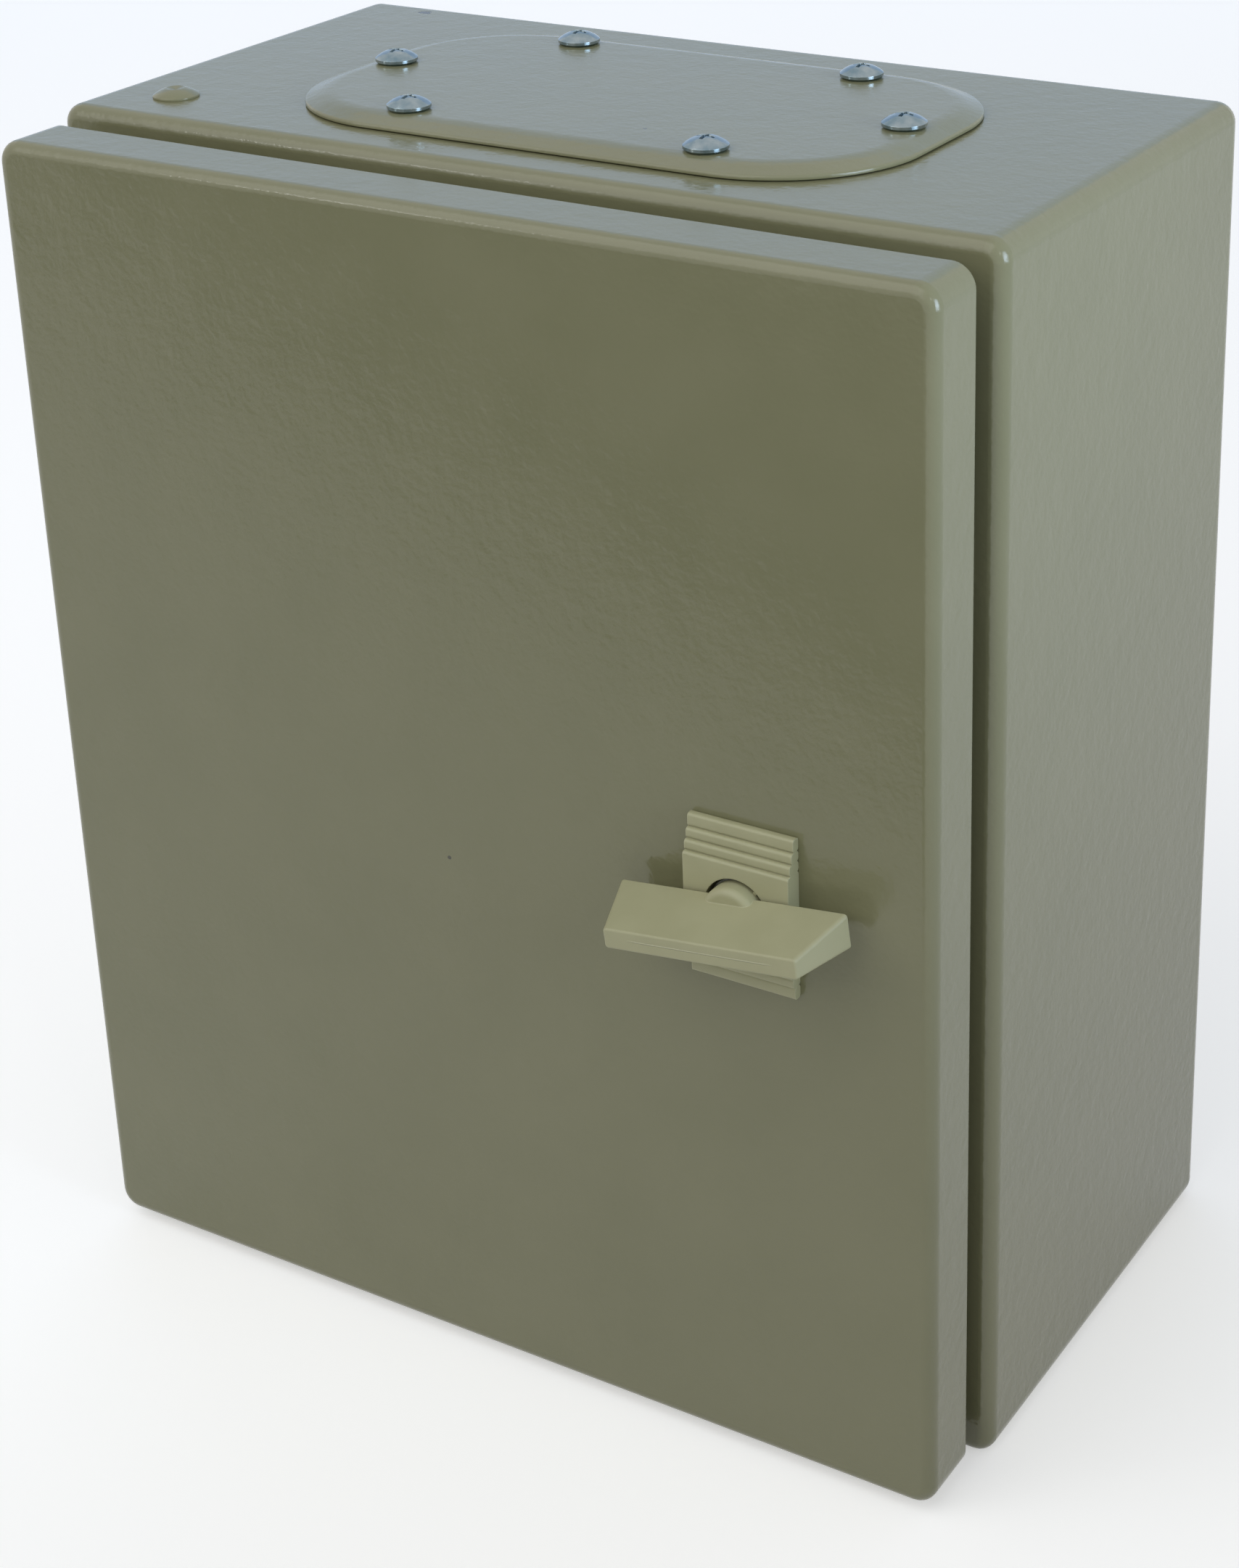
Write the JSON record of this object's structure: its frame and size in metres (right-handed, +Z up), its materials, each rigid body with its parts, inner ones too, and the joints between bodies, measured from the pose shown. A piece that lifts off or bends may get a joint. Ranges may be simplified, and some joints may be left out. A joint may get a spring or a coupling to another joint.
{
  "type": "metal enclosure",
  "caption": "Wall-mounting sheet steel enclosure with a hinged pan door, a quarter turn wing handle, a raised gland plate on top and a mounting plate inside.",
  "frame": {"origin": "centre of the case's underside, on the surface it stands on", "axes": "+X right seen from the front, +Y from the door to the wall behind, +Z up"},
  "size_m": [0.25, 0.1709, 0.3062],
  "materials": {
    "coated_steel": "pebble grey powder coat, fine orange peel, semi gloss",
    "foam_seal": "foamed polyurethane, matt",
    "rubber_seal": "moulded nitrile rubber, satin",
    "bright_zinc": "bright blue-white zinc plate",
    "spring_steel": "dark phosphated spring steel",
    "galvanised_steel": "hot-dip galvanised sheet, fine spangle",
    "copper_flashed_steel": "copper flashed weld stud",
    "handle_plastic": "moulded beige polyamide, fine satin",
    "cast_zinc": "die-cast zinc, satin"
  },
  "bodies": {
    "case": {"enclosure_case": "coated_steel", "gland_plate": "coated_steel", "gland_seal": "foam_seal", "gland_screws": "bright_zinc", "gland_nuts": "bright_zinc", "upper_hinge_strap": "coated_steel", "lower_hinge_strap": "coated_steel", "domed_hinge_rivet": "coated_steel", "flush_hinge_rivet": "coated_steel", "mounting_plate": "galvanised_steel", "mounting_studs": "copper_flashed_steel", "plate_washers": "bright_zinc", "plate_nuts": "bright_zinc", "case_earth_stud": "copper_flashed_steel", "case_earth_washer": "bright_zinc", "case_earth_nut": "bright_zinc"},
    "door": {"door_panel": "coated_steel", "door_seal": "foam_seal", "upper_hinge_fork": "coated_steel", "lower_hinge_fork": "coated_steel", "hinge_pins": "bright_zinc", "hinge_pin_clips": "spring_steel", "lock_housing": "handle_plastic", "lock_seal": "rubber_seal", "lock_nut": "bright_zinc", "door_earth_stud": "copper_flashed_steel", "door_earth_washer": "bright_zinc", "door_earth_nut": "bright_zinc"},
    "latch": {"wing_handle": "handle_plastic", "lock_spindle": "cast_zinc", "spindle_seal": "rubber_seal", "lock_cam": "bright_zinc", "cam_washer": "bright_zinc", "cam_screw": "bright_zinc"}
  },
  "joints": [
    {"name": "door_hinge", "type": "hinge", "parent": "case", "child": "door", "pos_m": [-0.1173, -0.075, 0.15], "axis": [0, 0, -1], "range_deg": [0, 120]},
    {"name": "latch_turn", "type": "hinge", "parent": "door", "child": "latch", "pos_m": [0.0765, -0.0875, 0.15], "axis": [0, -1, 0], "range_deg": [-6.8, 83.2]}
  ]
}
